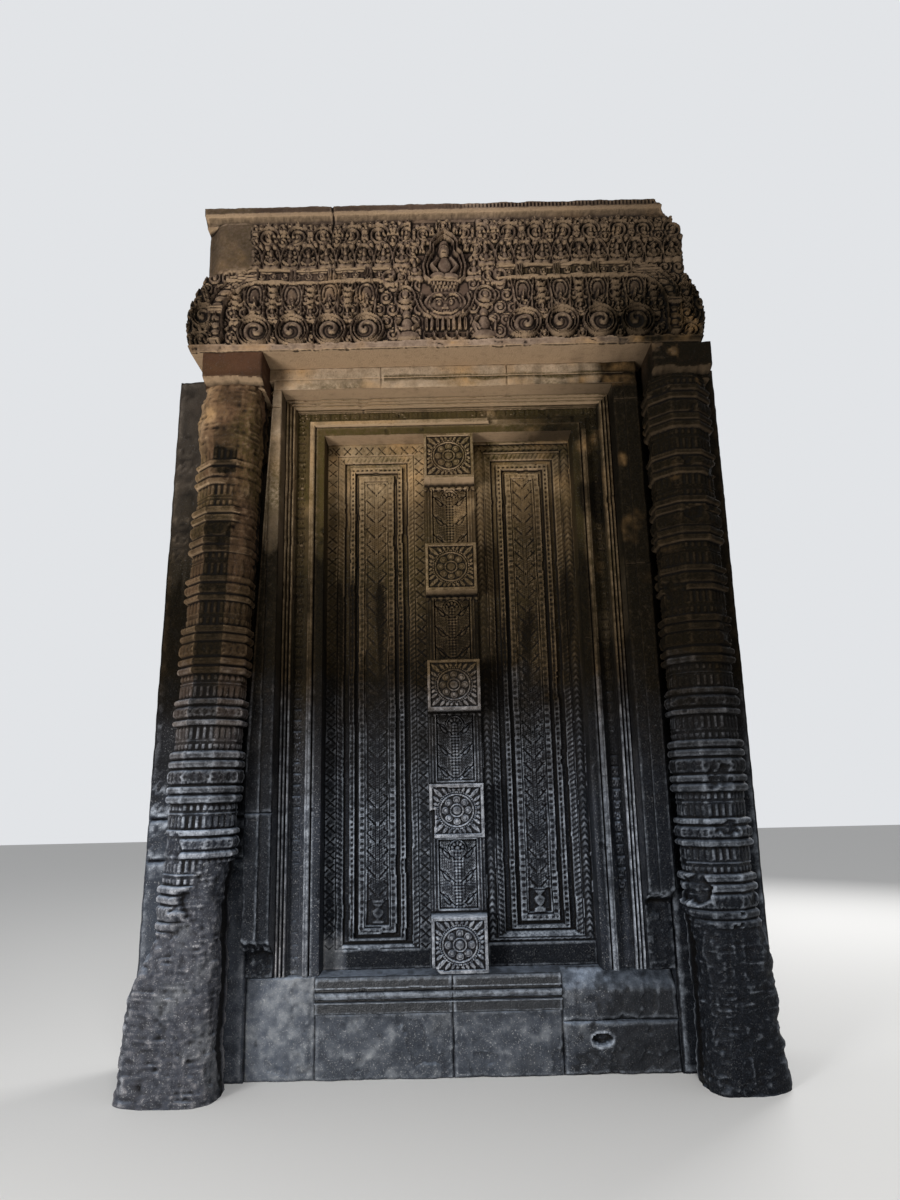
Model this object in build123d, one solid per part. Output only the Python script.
from build123d import *
import math
import os

# A carved stone false door: two blind leaves with a bossed strip between them, a moulded
# frame in two orders, ringed octagonal colonettes and a carved lintel, all of dry-laid stones.
# Millimetres. X runs to the right, Y into the wall, Z up from the foot of the base course.
# The leaves' ground plane is Y = 0, and a projection of p stands at Y = -p.

# Heights of the courses
base_height = 205
sill_height = 115
opening_height = 1942
sill_top = base_height + sill_height
opening_top = sill_top + opening_height
wall_back = 150
embed = 5

# Leaves and the strip between them
astragal_half = 97
leaf_width = 379
opening_half = astragal_half + leaf_width
leaf_ground = 12
leaf_foot_rail_left = 66
leaf_foot_rail_right = 98
leaf_head_extra = 8
foot_squeeze = 0.5
lozenge_band = 40
lozenge_line = 3
chamfer_band = 24
channel_width = 18
bead_band = 20
inner_channel = 12
palmette_band = 24
panel_line = 5
channel_depth = 24
bead_rise = 8
panel_depth = 6

# Square bosses on the strip
boss_count = 5
boss_height = 183
boss_head_gap = 8
boss_projection = 128
boss_bevel = 7
boss_rim = 15
boss_field_depth = 8
petal_count = 8
petal_radius = 19
petal_crest = 10
petal_sides = 6
petal_circle = 50
petal_rise = 5
rosette_eye = 30
rosette_shoulder = 25
rosette_hollow = 17
rosette_pip = 12
spray_radius = 15
spray_crest = 8
spray_sides = 4
spray_stretch = 1.5
spray_inset = 22
strip_rim = 29
strip_projection = 26
strip_depth = 14
strip_margin = 10
strip_joint = 596
break_width = 18
chip_width = 45

# Inner moulded frame: flat fillet, bead, carved hollow band and three reeds
flat_fillet = 31
groove_width = 5
bead_fillet = 19
step_width = 16
carved_band = 36
reed_width = 11
reed_count = 3
reed_gap = 2
frame_width = flat_fillet + bead_fillet + step_width + carved_band + 2 * groove_width
frame_width += reed_count * (reed_width + reed_gap)
flat_projection = 105
groove_projection = 92
bead_projection = 120
band_projection = 82
reed_projection = 112

# Plain outer frame
outer_width = 93
outer_head = 86
outer_projection = 200
outer_step = 41
outer_step_depth = 6
outer_break_left = 414
outer_break_right = 552
break_slope = 6
frame_half = opening_half + frame_width
frame_top = opening_top + frame_width
outer_half = frame_half + outer_width
lintel_foot = frame_top + outer_head

# Joints between the stones, by place across the door or by height
sill_left_end = -487
sill_joint = -28
sill_right_end = 335
inner_head_joints = (-216, 102)
outer_head_joints = (-250, 229)
outer_head_drop = 67
inner_jamb_joint = 1449
outer_jamb_left_joint = 857
outer_jamb_right_joint = 1702
foot_stone_joint = 162

# Sill and base
sill_projection = 130
sill_groove = 105
sill_torus = 126
sill_fascia = 37
sill_hollow = 13
sill_roll = 24
sill_fillet = 6
base_projection = 110
base_wear = 60
socket_place = 463
socket_height = 107
socket_width = 66
socket_rise = 36
socket_depth = 40

# Stones behind the colonettes
backing_projection = 115
backing_half_top = 1040
backing_half_foot = 1092
backing_joints = (702, 841)

# Colonettes
shaft_half = 106
ring_half = 118
ring_bevel = 6
major_ring = 24
major_band = 46
major_height = 165
minor_ring = 20
minor_band = 34
minor_height = 88
ring_first = 558
ring_pitch = 421.5
colonette_left_axis = 884
colonette_left_lean = 0.0437
colonette_right_axis = 845
colonette_joint = 709
colonette_clearance = 3
neck_height = 281
capital_height = 126
capital_half = 108
capital_wear = 12
capital_right_shift = 14
colonette_centre = backing_projection + ring_half
colonette_top = lintel_foot - capital_height
worn_neck = colonette_top - neck_height
ring_foot = ring_first - major_height / 2

# Worn parts of the colonettes: evenly spaced sections upwards, each with its reach to the left
# and to the right of the axis and what it has lost in front
worn_shoulder = 0.55
left_foot_wear = [(201, 123, 12), (198, 102, 22), (189, 105, 8), (118, 94, 16)]
left_stub_wear = [(118, 94, 16), (95, 89, 14), (98, 100, 8)]
left_neck_wear = [(106, 104, 2), (116, 106, -5), (128, 100, 4), (132, 104, -3), (112, 98, 9)]
right_foot_wear = [(96, 172, 10), (88, 158, 22), (94, 142, 6), (80, 96, 14)]

# Lintel
lintel_height = 600
lintel_half = 965
lintel_upper_half = 905
lintel_projection = 340
lintel_ground = 300
lintel_border = 26
lintel_fascia = 29
lintel_cove = 32
cove_hollow = 10
lintel_end_height = 310
corner_break = 110
corner_break_depth = 150
disc_sides = 10
bud_sides = 6

# Garland, and what hangs under it
garland_height = 310
garland_width = 55
garland_start = 200
garland_turn = 700
garland_radius = 150
garland_bends = 3
garland_fall = 90
pendant_count = 4
pendant_first = 292
pendant_pitch = 139
pendant_height = 88
pendant_radius = 61
pendant_shoulder = 52
pendant_hollow = 30
pendant_eye = 21
bulb_count = 8
bulb_first = 250
bulb_pitch = 69
bulb_height = 232
bulb_radius = 25
bulb_crest = 13
bulb_stretch = 1.3
volute_place = 893
volute_height = 155
volute_radius = 56
volute_crest = 28
volute_stretch = 1.6

# Row of small figures above the garland, under slanting sprays of foliage
attendant_count = 6
attendant_first = 170
attendant_pitch = 95
attendant_size = 95
attendant_height = 340
attendant_rise = 20
lintel_spray_count = 7
lintel_spray_first = 124
lintel_spray_pitch = 92
lintel_spray_height = 492
lintel_spray_radius = 46
lintel_spray_crest = 28
lintel_spray_rise = 28
lintel_spray_stretch = 0.4
lintel_spray_slant = 36

# Centre of the lintel: niche, crown, mask, a figure and a flower each side, and scallops
niche_half = 76
niche_foot = 262
niche_spring = 84
niche_shoulder = 147
niche_shoulder_half = 50
niche_rise = 210
niche_band = 15
niche_figure = 164
crown_height = 228
crown_half = 45
crown_crest = 36
crown_stretch = 0.5
mask_height = 160
mask_half = 60
mask_cheek = 48
mask_crest = 36
mask_sides = 12
mask_stretch = 0.8
eye_place = 24
eye_height = 12
eye_radius = 13
eye_crest = 7
eye_rise = 10
guard_place = 144
guard_size = 130
flower_place = 138
scallop_count = 5
scallop_radius = 17
scallop_crest = 8
scallop_stretch = 1.5

# Seated figure, as (height of the form's middle, half width, half width of its crest, stretch),
# in shares of the figure's height: legs, trunk and head
figure_forms = [(0.13, 0.36, 0.28, 0.4), (0.43, 0.22, 0.13, 1.35), (0.83, 0.16, 0.09, 1.2)]


def polygon_face(points):
    """Return the flat face bounded by the points, given as (x, projection, z)."""
    return Face(Wire.make_polygon([Vector(x, -p, z) for x, p, z in points], close=True))


def solid_of(loops):
    """Close a set of flat outlines into one solid."""
    return Solid(Shell([polygon_face(loop) for loop in loops]))


def block(x0, x1, front, z0, z1, back=wall_back):
    """Return a squared stone from its front projection to its depth behind the leaves."""
    size = Box(x1 - x0, front + back, z1 - z0, align=(Align.MIN, Align.MIN, Align.MIN))
    return Pos(x0, -front, z0) * size


def fused(body, pieces):
    """Join pieces to a body and return the one solid."""
    return body.fuse(*pieces).solid()


def lofted(rings, split=False):
    """Close a run of like outlines into one solid, with a flat quad or two triangles to each side."""
    loops = [rings[0], rings[-1]]
    for start, end in zip(rings, rings[1:]):
        for i in range(len(start)):
            j = (i + 1) % len(start)
            if split:
                loops += [[start[i], start[j], end[j]], [start[i], end[j], end[i]]]
            else:
                loops.append([start[i], start[j], end[j], end[i]])
    return solid_of(loops)


def stepped_panel(contours, back):
    """Build a panel of nested rectangles (x0, x1, z0, z1, projection) back to a depth behind the leaves.

    Neighbouring rectangles are joined by four flat strips, so a change of size alone is a flat
    band, a change of projection alone is an upright step and a change of both is a bevel.
    """
    def corners(contour, p):
        x0, x1, z0, z1 = contour[:4]
        return [(x0, p, z0), (x1, p, z0), (x1, p, z1), (x0, p, z1)]

    return lofted([corners(contours[0], -back)] + [corners(c, c[4]) for c in contours])


def portal(profile, half, top, foot, head_scale=1):
    """Carry a closed moulding profile of (outward, projection) up one side, across and down the other.

    The head's share of each outward distance may differ from the sides' by one scale.
    """
    loops = []
    for (ua, pa), (ub, pb) in zip(profile, profile[1:] + profile[:1]):
        za, zb = top + ua * head_scale, top + ub * head_scale
        for side in (-1, 1):
            xa, xb = side * (half + ua), side * (half + ub)
            loops.append([(xa, pa, foot), (xb, pb, foot), (xb, pb, zb), (xa, pa, za)])
        loops.append([(-half - ua, pa, za), (half + ua, pa, za), (half + ub, pb, zb), (-half - ub, pb, zb)])
    for side in (-1, 1):
        loops.append([(side * (half + u), p, foot) for u, p in profile])
    return solid_of(loops)


def stone_of(course, x0, x1, z0, z1):
    """Cut one stone out of a course between two joints across and two in height."""
    return (course & block(x0, x1, 2 * lintel_projection, z0, z1, 2 * wall_back)).solid()


def knob(x, z, levels, sides, stretch=1, turn=0):
    """Raise a faceted boss on an upright face from (radius, projection) levels."""
    rings = []
    for radius, p in levels:
        ring = []
        for i in range(sides):
            angle = 2 * math.pi * (i + 0.5) / sides
            across, up = radius * math.cos(angle), radius * stretch * math.sin(angle)
            ring.append((x + across * math.cos(turn) - up * math.sin(turn), p,
                         z + across * math.sin(turn) + up * math.cos(turn)))
        rings.append(ring)
    return lofted(rings)


def beam(path, width, ground, rise):
    """Raise a three-faced roll of one width along a bent line of (x, z) points."""
    section = [(-width / 2, ground - embed), (-width / 2, ground + rise / 2), (-width / 4, ground + rise),
               (width / 4, ground + rise), (width / 2, ground + rise / 2), (width / 2, ground - embed)]
    headings = [math.atan2(b[1] - a[1], b[0] - a[0]) for a, b in zip(path, path[1:])]
    rings = []
    for i, (x, z) in enumerate(path):
        before, after = headings[max(i - 1, 0)], headings[min(i, len(headings) - 1)]
        heading, spread = (before + after) / 2, math.cos((after - before) / 2)
        rings.append([(x - math.sin(heading) * u / spread, p, z + math.cos(heading) * u / spread)
                      for u, p in section])
    return lofted(rings)


def leaf(x0, x1, foot_rail):
    """One blind leaf: lozenge band, chamfer, channel, beaded fillet, palmette band and inner panel.

    A step is (inwards, upwards at the foot, projection), and the outer mouldings are squeezed at the foot.
    """
    channel = leaf_ground - channel_depth
    steps = [
        (lozenge_band, foot_rail, leaf_ground),
        (lozenge_line, lozenge_line, leaf_ground - panel_depth),
        (chamfer_band, chamfer_band * foot_squeeze, 0),
        (0, 0, channel),
        (channel_width, channel_width * foot_squeeze, channel),
        (0, 0, bead_rise),
        (bead_band, bead_band * foot_squeeze, bead_rise),
        (0, 0, channel),
        (inner_channel, inner_channel, channel),
        (0, 0, 0),
        (palmette_band, palmette_band, 0),
        (panel_line, panel_line, -panel_depth),
    ]
    contours = [(x0, x1, sill_top, opening_top, leaf_ground)]
    inset, foot = 0, sill_top
    for inwards, upwards, projection in steps:
        inset += inwards
        foot += upwards
        head = opening_top - leaf_head_extra - inset
        contours.append((x0 + inset, x1 - inset, foot, head, projection))
    return stepped_panel(contours, wall_back)


def rosette(z):
    """Carve the eye, petals and corner sprays in the field of the boss that is centred at a height."""
    ground = boss_projection - boss_field_depth
    low, high = ground - embed, ground + petal_rise
    pieces = [knob(0, z, [(rosette_eye, low), (rosette_shoulder, high), (rosette_hollow, high),
                          (rosette_pip, boss_projection)], petal_count)]
    for i in range(petal_count):
        angle = 2 * math.pi * i / petal_count
        pieces.append(knob(petal_circle * math.cos(angle), z + petal_circle * math.sin(angle),
                           [(petal_radius, low), (petal_crest, high)], petal_sides, turn=angle))
    across = astragal_half - boss_rim - spray_inset
    up = boss_height / 2 - boss_rim - spray_inset
    for sx in (-1, 1):
        for sz in (-1, 1):
            pieces.append(knob(sx * across, z + sz * up, [(spray_radius, low), (spray_crest, high)],
                               spray_sides, spray_stretch, -sx * sz * math.pi / 4))
    return pieces


def boss(foot):
    """One square boss: upright sides, bevelled edge, raised rim and sunk field with its rosette."""
    def contour(inset, projection):
        half = astragal_half - inset
        return (-half, half, foot + inset, foot + boss_height - inset, projection)

    body = stepped_panel([
        contour(0, boss_projection - boss_bevel),
        contour(boss_bevel, boss_projection),
        contour(boss_rim, boss_projection),
        contour(boss_rim, boss_projection - boss_field_depth),
    ], 0)
    return fused(body, rosette(foot + boss_height / 2))


def astragal():
    """The strip between the leaves, with evenly spaced bosses, sunk panels and two worn boss corners."""
    strip = block(-astragal_half, astragal_half, strip_projection, sill_top, opening_top)
    pitch = (opening_height - boss_head_gap - boss_height) / (boss_count - 1)
    feet = [sill_top + i * pitch for i in range(boss_count)]
    panel_half = astragal_half - strip_rim
    for foot in feet[:-1]:
        low, high = foot + boss_height + strip_margin, foot + pitch - strip_margin
        strip -= block(-panel_half, panel_half, strip_projection, low, high, strip_depth - strip_projection)
    strip = fused(strip, [boss(foot) for foot in feet])
    edge = break_width - astragal_half
    lost = block(-astragal_half, edge, boss_projection, feet[1], feet[1] + boss_height / 2, -strip_projection)
    chip = Pos(-astragal_half, -boss_projection, feet[0]) * Rot(0, 45, 0) * Box(
        chip_width, boss_height, chip_width)
    return (strip - lost - chip).solid()


def inner_frame():
    """The moulded order that surrounds the leaves, from its flat fillet out to the reeds."""
    profile = [(0, -wall_back), (0, flat_projection), (flat_fillet, flat_projection)]
    outward = flat_fillet + groove_width
    profile += [(flat_fillet, groove_projection), (outward, groove_projection)]
    profile += [(outward, bead_projection - groove_width), (outward + groove_width, bead_projection),
                (outward + bead_fillet, bead_projection)]
    outward += bead_fillet
    profile += [(outward, groove_projection), (outward + step_width, band_projection)]
    outward += step_width
    profile += [(outward + carved_band, band_projection)]
    outward += carved_band + groove_width
    for i in range(reed_count):
        facet = reed_width / 3
        profile += [(outward, groove_projection), (outward + facet, reed_projection),
                    (outward + 2 * facet, reed_projection), (outward + reed_width, groove_projection)]
        outward += reed_width + reed_gap
    profile += [(frame_width, groove_projection), (frame_width, -wall_back)]
    return portal(profile, opening_half, opening_top, sill_top)


def outer_frame():
    """The plain order in front, whose front face has one shallow step along its inner edge."""
    profile = [(0, -wall_back), (0, outer_projection - outer_step_depth),
               (outer_step, outer_projection - outer_step_depth), (outer_step, outer_projection),
               (outer_width, outer_projection), (outer_width, -wall_back)]
    frame = portal(profile, frame_half, frame_top, sill_top, outer_head / outer_width)
    return frame - colonette_bay()


def colonette_bay():
    """The room that the leaning left colonette and its capital take out of the plain order."""
    front, back = 2 * outer_projection, backing_projection
    edges = [(z, colonette_left_place(z) + ring_half + colonette_clearance) for z in (0, colonette_top)]
    bay = lofted([[(-lintel_half, front, z), (x, front, z), (x, back, z), (-lintel_half, back, z)]
                  for z, x in edges])
    seat = colonette_left_place(colonette_top) + capital_half
    return bay + block(-lintel_half, seat, front, colonette_top, lintel_foot, -back)


def colonette_left_place(z):
    """Return where the left colonette's leaning axis stands across the door at a height."""
    return colonette_left_lean * z - colonette_left_axis


def broken_foot(jamb, side, height):
    """Break away the projecting front of an outer jamb below a height, along a slanted break."""
    centre = side * (frame_half + outer_width / 2)
    reach = height - sill_top
    lost = Box(2 * outer_width, 2 * (outer_projection - backing_projection), 2 * reach)
    return (jamb - Pos(centre, -outer_projection, sill_top) * Rot(0, break_slope * side, 0) * lost).solid()


def sill(x0, x1):
    """A length of the threshold moulding: fascia, hollow, roll and flat band."""
    top = sill_top
    fascia_foot = top - sill_fascia
    roll_top = fascia_foot - sill_hollow
    roll_foot = roll_top - sill_roll
    band_top = roll_foot - sill_fillet
    with BuildSketch(Plane.YZ) as section:
        with BuildLine():
            front = Polyline((wall_back, base_height), (wall_back, top), (-sill_projection, top),
                             (-sill_projection, fascia_foot), (-sill_groove, fascia_foot),
                             (-sill_groove, roll_top))
            roll = ThreePointArc(front @ 1, (-sill_torus, (roll_top + roll_foot) / 2),
                                 (-sill_groove, roll_foot))
            Polyline(roll @ 1, (-sill_groove, band_top), (-sill_projection, band_top),
                     (-sill_projection, base_height), (wall_back, base_height))
        make_face()
    return Pos(x0, 0, 0) * extrude(section.sketch, x1 - x0).solid()


def foot_stone_right():
    """The worn stone that continues the threshold to the right, its front edge rounded off."""
    stone = block(sill_right_end, outer_half, base_projection, foot_stone_joint, sill_top)
    worn = stone.edges().filter_by(Axis.X).group_by(Axis.Z)[-1].sort_by(Axis.Y)[0]
    return stone.chamfer(base_wear, base_wear, [worn])


def base_block_right():
    """The base stone under it, with an oval socket cut in its face."""
    stone = block(sill_right_end, outer_half, base_projection, 0, foot_stone_joint)
    mouth = Plane((socket_place, -base_projection, socket_height), x_dir=(1, 0, 0), z_dir=(0, -1, 0))
    socket = extrude(mouth * Ellipse(socket_width / 2, socket_rise / 2), -socket_depth)
    return (stone - socket).solid()


def backing_left():
    """The stones behind the left colonette, whose outer edge leans out towards the foot."""
    front, back = backing_projection, -wall_back
    rings = []
    for z, reach in ((0, backing_half_foot), (lintel_foot, backing_half_top)):
        rings.append([(-reach, front, z), (-outer_half, front, z), (-outer_half, back, z), (-reach, back, z)])
    return lofted(rings)


def ring_group(centre, height, members):
    """Return the (height, half width) points of one group of rings about a height."""
    gap = (height - sum(members)) / (len(members) - 1)
    z = centre - height / 2
    points = []
    for member in members:
        points += [(z, shaft_half), (z + ring_bevel, ring_half), (z + member - ring_bevel, ring_half),
                   (z + member, shaft_half)]
        z += member + gap
    return points


def ring_profile(low, high):
    """List the rings of a colonette between two heights, where large and small groups alternate."""
    large = (major_height, [major_ring, major_ring, major_band, major_ring, major_ring])
    small = (minor_height, [minor_ring, minor_band, minor_ring])
    points = []
    for i in range(math.ceil((high - ring_first) * 2 / ring_pitch)):
        height, members = small if i % 2 else large
        centre = ring_first + i * ring_pitch / 2
        if centre - height / 2 > low and centre + height / 2 < high:
            points += ring_group(centre, height, members)
    return points


def column(points, place):
    """Build an octagonal shaft from (height, half width) points, about an axis placed by height."""
    rings = []
    for z, half in points:
        corner = half / math.cos(math.pi / 8)
        rings.append([(place(z) + corner * math.cos(math.pi * (i + 0.5) / 4),
                       colonette_centre + corner * math.sin(math.pi * (i + 0.5) / 4), z) for i in range(8)])
    return lofted(rings)


def worn_mass(wear, low, high, place):
    """Build a shapeless worn mass between two heights from its sections, about an axis placed by height."""
    rings = []
    for i, (left, right, lost) in enumerate(wear):
        z = low + (high - low) * i / (len(wear) - 1)
        x0, x1 = place(z) - left, place(z) + right
        front = colonette_centre + shaft_half - lost
        shoulder = backing_projection + (front - backing_projection) * worn_shoulder
        bevel = (right + left) / 4
        rings.append([(x0, backing_projection, z), (x0, shoulder, z), (x0 + bevel, front, z),
                      (x1 - bevel, front, z), (x1, shoulder, z), (x1, backing_projection, z)])
    return lofted(rings, split=True)


def colonette_left_upper():
    """The left shaft above its joint, with its rings and its worn, swollen neck."""
    rings = ring_profile(colonette_joint, worn_neck)
    points = [(colonette_joint, shaft_half)] + rings + [(worn_neck, shaft_half)]
    neck = worn_mass(left_neck_wear, worn_neck, colonette_top, colonette_left_place)
    return fused(column(points, colonette_left_place), [neck])


def colonette_left_lower():
    """The left shaft below its joint: a worn foot, and ring remnants on its outer half only."""
    remnant = column(ring_profile(0, colonette_joint) + [(colonette_joint, shaft_half)], colonette_left_place)
    axis = colonette_left_place(colonette_joint)
    kept = stone_of(remnant, axis - 2 * ring_half, axis, ring_foot, colonette_joint)
    foot = worn_mass(left_foot_wear, 0, ring_foot, colonette_left_place)
    stub = worn_mass(left_stub_wear, ring_foot, colonette_joint, colonette_left_place)
    return fused(foot, [stub, kept])


def colonette_right_place(z):
    """Return where the right colonette's upright axis stands across the door."""
    return colonette_right_axis


def colonette_right():
    """The right shaft in one stone, ringed to its top, on a worn foot."""
    points = ring_profile(0, colonette_top) + [(colonette_top, shaft_half)]
    foot = worn_mass(right_foot_wear, 0, ring_foot + major_height / 2, colonette_right_place)
    return fused(column(points, colonette_right_place), [foot])


def capital(x):
    """The plain block on a colonette, worn along its lower front edges."""
    stone = block(x - capital_half, x + capital_half, lintel_projection, colonette_top, lintel_foot,
                  -backing_projection)
    worn = stone.edges().group_by(Axis.Z)[0].filter_by(Axis.X).sort_by(Axis.Y)[0]
    return stone.chamfer(capital_wear, capital_wear, [worn])


def lintel_body():
    """The lintel's stone: rounded lower ends, narrower above, with a border below, a cove on top
    and its right top corner broken off."""
    foot, top = lintel_foot, lintel_foot + lintel_height
    shoulder = foot + lintel_end_height
    waist = (foot + shoulder) / 2
    toe = (lintel_upper_half + lintel_half) / 2
    with BuildSketch(Plane.XZ) as outline:
        with BuildLine():
            left = ThreePointArc((-toe, foot), (-lintel_half, waist), (-lintel_upper_half, shoulder))
            crown = Polyline(left @ 1, (-lintel_upper_half, top), (lintel_upper_half, top),
                             (lintel_upper_half, shoulder))
            right = ThreePointArc(crown @ 1, (lintel_half, waist), (toe, foot))
            Line(right @ 1, left @ 0)
        make_face()
    body = Pos(0, wall_back, 0) * extrude(outline.sketch, lintel_ground + wall_back)
    cove_foot = top - lintel_fascia - lintel_cove
    with BuildSketch(Plane.YZ) as section:
        with BuildLine():
            cove = SagittaArc((-lintel_ground, cove_foot), (-lintel_projection, cove_foot + lintel_cove),
                              -cove_hollow)
            Polyline(cove @ 1, (-lintel_projection, top), (-lintel_ground + embed, top),
                     (-lintel_ground + embed, cove_foot), cove @ 0)
        make_face()
    cornice = Pos(-lintel_upper_half, 0, 0) * extrude(section.sketch, 2 * lintel_upper_half)
    border = block(-toe, toe, lintel_projection, foot, foot + lintel_border, embed - lintel_ground)
    whole = fused(body, [cornice, border])
    lost = Box(corner_break * math.sqrt(2), 2 * corner_break_depth, corner_break * math.sqrt(2))
    return (whole - Pos(lintel_upper_half, -lintel_projection, top) * Rot(0, 45, 0) * lost).solid()


def figure(x, z, size, rise):
    """A small seated figure in relief: folded legs, trunk and head, as tall as its size."""
    low, high = lintel_ground - embed, lintel_ground + rise
    return [knob(x, z + size * middle, [(size * half, low), (size * crest, high)], bud_sides, stretch)
            for middle, half, crest, stretch in figure_forms]


def garland_path(side):
    """Run the garland outwards, turn it down round an arc and drop it to its end."""
    height = lintel_foot + garland_height
    path = [(side * garland_start, height), (side * garland_turn, height)]
    for i in range(garland_bends):
        angle = math.pi / 2 * (i + 1) / garland_bends
        path.append((side * (garland_turn + garland_radius * math.sin(angle)),
                     height - garland_radius * (1 - math.cos(angle))))
    path.append((side * (garland_turn + garland_radius), height - garland_radius - garland_fall))
    return path


def niche():
    """The pointed niche in the middle of the lintel, with its seated figure."""
    foot = lintel_foot + niche_foot
    left = [(-niche_half, foot), (-niche_half, foot + niche_spring),
            (-niche_shoulder_half, foot + niche_shoulder)]
    right = [(-x, z) for x, z in reversed(left)]
    relief = lintel_projection - lintel_ground
    arch = beam(left + [(0, foot + niche_rise)] + right, niche_band, lintel_ground, relief)
    return [arch] + figure(0, foot, niche_figure, relief)


def mask():
    """The crowned beast mask under the niche, with its eyes and the scallops below it."""
    middle = lintel_foot + mask_height
    low, high = lintel_ground - embed, lintel_projection
    pieces = [
        knob(0, middle, [(mask_half, low), (mask_cheek, high), (mask_crest, high + embed)],
             mask_sides, mask_stretch),
        knob(0, lintel_foot + crown_height, [(crown_half, low), (crown_crest, high)],
             petal_count, crown_stretch),
    ]
    for side in (-1, 1):
        pieces.append(knob(side * eye_place, middle + eye_height, [(eye_radius, high - embed),
                                                                   (eye_crest, high + eye_rise)], bud_sides))
    for i in range(scallop_count):
        x = (i - (scallop_count - 1) / 2) * 2 * scallop_radius
        z = lintel_foot + lintel_border + scallop_radius * scallop_stretch
        pieces.append(knob(x, z, [(scallop_radius, low), (scallop_crest, high)], bud_sides, scallop_stretch))
    return pieces


def lintel_side(side):
    """One side of the lintel's carving: garland, hanging buds and discs, figures and sprays of foliage."""
    foot = lintel_foot
    relief = lintel_projection - lintel_ground
    low, high = lintel_ground - embed, lintel_projection
    pieces = [
        beam(garland_path(side), garland_width, lintel_ground, relief),
        knob(side * volute_place, foot + volute_height, [(volute_radius, low), (volute_crest, high)],
             disc_sides, volute_stretch),
        knob(side * flower_place, foot + crown_height, [(bulb_radius, low), (bulb_crest, high)], petal_count),
    ]
    pieces += figure(side * guard_place, foot + lintel_border + embed, guard_size, relief)
    for i in range(pendant_count):
        levels = [(pendant_radius, low), (pendant_shoulder, high - embed), (pendant_hollow, high - embed),
                  (pendant_eye, high)]
        pieces.append(knob(side * (pendant_first + i * pendant_pitch), foot + pendant_height,
                           levels, disc_sides))
    for i in range(bulb_count):
        pieces.append(knob(side * (bulb_first + i * bulb_pitch), foot + bulb_height,
                           [(bulb_radius, low), (bulb_crest, high - embed)], bud_sides, bulb_stretch))
    for i in range(attendant_count):
        pieces += figure(side * (attendant_first + i * attendant_pitch), foot + attendant_height,
                         attendant_size, attendant_rise)
    levels = [(lintel_spray_radius, low), (lintel_spray_crest, lintel_ground + lintel_spray_rise)]
    for i in range(lintel_spray_count):
        pieces.append(knob(side * (lintel_spray_first + i * lintel_spray_pitch), foot + lintel_spray_height,
                           levels, bud_sides, lintel_spray_stretch, side * math.radians(lintel_spray_slant)))
    return pieces


def lintel():
    """The carved lintel: its stone, with the centre and both sides raised on its sunk ground."""
    return fused(lintel_body(), niche() + mask() + lintel_side(-1) + lintel_side(1))


def build_stones():
    """Return every stone of the door by name."""
    stones = {
        "base_block_left": block(-outer_half, sill_left_end, base_projection, 0, sill_top),
        "base_block_mid_left": block(sill_left_end, sill_joint, base_projection, 0, base_height),
        "base_block_mid_right": block(sill_joint, sill_right_end, base_projection, 0, base_height),
        "base_block_right": base_block_right(),
        "foot_stone_right": foot_stone_right(),
        "sill_left": sill(sill_left_end, sill_joint),
        "sill_right": sill(sill_joint, sill_right_end),
        "leaf_left": leaf(-opening_half, -astragal_half, leaf_foot_rail_left),
        "leaf_right": leaf(astragal_half, opening_half, leaf_foot_rail_right),
    }
    strip = astragal()
    stones["astragal_lower"] = stone_of(strip, -astragal_half, astragal_half, sill_top, strip_joint)
    stones["astragal_upper"] = stone_of(strip, -astragal_half, astragal_half, strip_joint, opening_top)

    inner = inner_frame()
    stones["inner_jamb_left"] = stone_of(inner, -frame_half, -opening_half, sill_top, opening_top)
    for name, z0, z1 in (("lower", sill_top, inner_jamb_joint), ("upper", inner_jamb_joint, opening_top)):
        stones["inner_jamb_right_" + name] = stone_of(inner, opening_half, frame_half, z0, z1)
    cuts = [-frame_half, *inner_head_joints, frame_half]
    for name, x0, x1 in zip(("left", "middle", "right"), cuts, cuts[1:]):
        stones["inner_head_" + name] = stone_of(inner, x0, x1, opening_top, frame_top)

    outer = outer_frame()
    head_foot = frame_top - outer_head_drop
    for side, name, joint, lost in ((-1, "left", outer_jamb_left_joint, outer_break_left),
                                    (1, "right", outer_jamb_right_joint, outer_break_right)):
        x0, x1 = sorted((side * frame_half, side * outer_half))
        lower = stone_of(outer, x0, x1, sill_top, joint)
        stones["outer_jamb_" + name + "_lower"] = broken_foot(lower, side, lost)
        stones["outer_jamb_" + name + "_upper"] = stone_of(outer, x0, x1, joint, head_foot)
    cuts = [-outer_half, *outer_head_joints, outer_half]
    for name, x0, x1 in zip(("left", "middle", "right"), cuts, cuts[1:]):
        stones["outer_head_" + name] = stone_of(outer, x0, x1, head_foot, lintel_foot)

    backing = backing_left()
    cuts = [0, *backing_joints, lintel_foot]
    for name, z0, z1 in zip(("lower", "middle", "upper"), cuts, cuts[1:]):
        stones["backing_left_" + name] = stone_of(backing, -backing_half_foot, -outer_half, z0, z1)
    stones["backing_right"] = block(outer_half, backing_half_top, backing_projection, 0, lintel_foot)

    stones["colonette_left_lower"] = colonette_left_lower()
    stones["colonette_left_upper"] = colonette_left_upper()
    stones["colonette_right"] = colonette_right()
    stones["capital_left"] = capital(colonette_left_place(colonette_top))
    stones["capital_right"] = capital(colonette_right_axis + capital_right_shift)
    stones["lintel"] = lintel()
    return stones


os.makedirs("parts", exist_ok=True)
for name, stone in build_stones().items():
    stone.label = name
    export_step(stone, f"parts/{name}.step")
